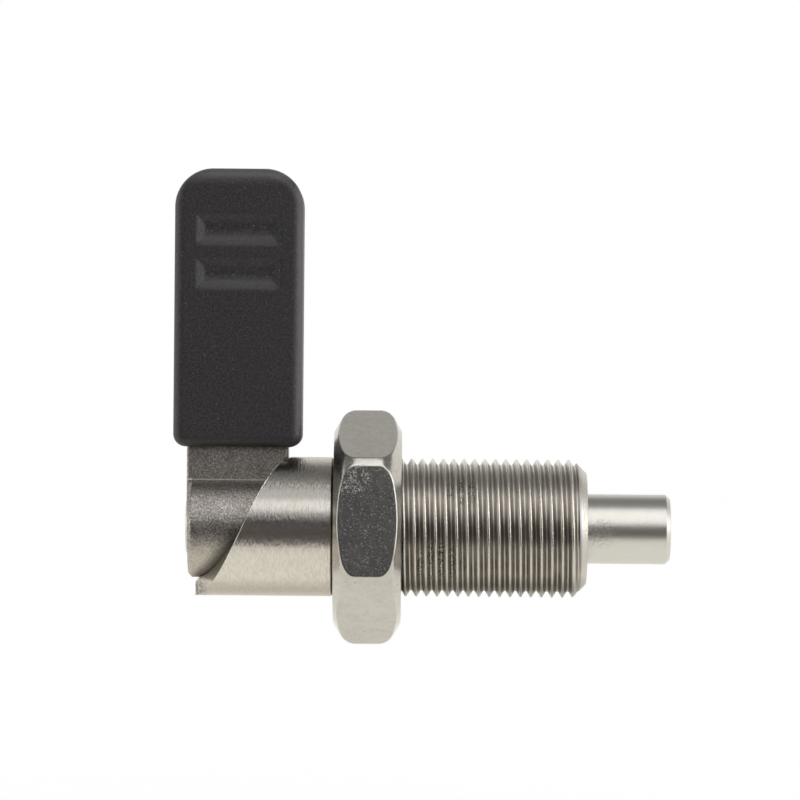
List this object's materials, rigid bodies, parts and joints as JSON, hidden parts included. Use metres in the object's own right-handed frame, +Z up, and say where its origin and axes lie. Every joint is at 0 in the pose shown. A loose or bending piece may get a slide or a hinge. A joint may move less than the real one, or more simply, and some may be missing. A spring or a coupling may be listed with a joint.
{
  "type": "indexing plunger",
  "caption": "Cam-action indexing plunger: a threaded guide body with lock nut and a spring-loaded pin that a half turn of the side lever draws back along a helical cam.",
  "frame": {"origin": "on the axis of the thread, in the plane of the lock nut's clamping face", "axes": "+X runs along the axis towards the nose of the pin, +Z runs up along the lever at rest, -Y is the side that the lever turns towards first"},
  "size_m": [0.0712, 0.031, 0.068],
  "materials": {
    "turned_steel": "stainless steel, turned with fine rings round the axis",
    "nut_steel": "stainless steel, milled flats with small dark pits and smears",
    "ground_steel": "stainless steel, ground and lightly polished",
    "spring_wire": "drawn stainless spring wire",
    "cast_steel": "precision-cast stainless steel, blasted, matt with a fine grain",
    "grip_plastic": "black plastic with a fine moulded grain"
  },
  "bodies": {
    "body": {"guide_body": "turned_steel", "lock_nut": "nut_steel", "compression_spring": "spring_wire"},
    "plunger": {"plunger_pin": "ground_steel"},
    "lever_arm": {"lever": "cast_steel", "grip_sleeve": "grip_plastic"}
  },
  "joints": [
    {"name": "pin_slide", "type": "slide", "parent": "body", "child": "plunger", "axis": [-1, 0, 0], "range_m": [0, 0.0145], "stiffness_N_per_m": 1500, "springref_m": -0.012, "deforming": ["compression_spring"]},
    {"name": "lever_turn", "type": "hinge", "parent": "plunger", "child": "lever_arm", "pos_m": [-0.023, 0, 0], "axis": [1, 0, 0], "range_deg": [0, 180]}
  ],
  "couplings": [
    {"joint": "lever_turn", "follows": "pin_slide", "rad_per_m": 216.66}
  ]
}
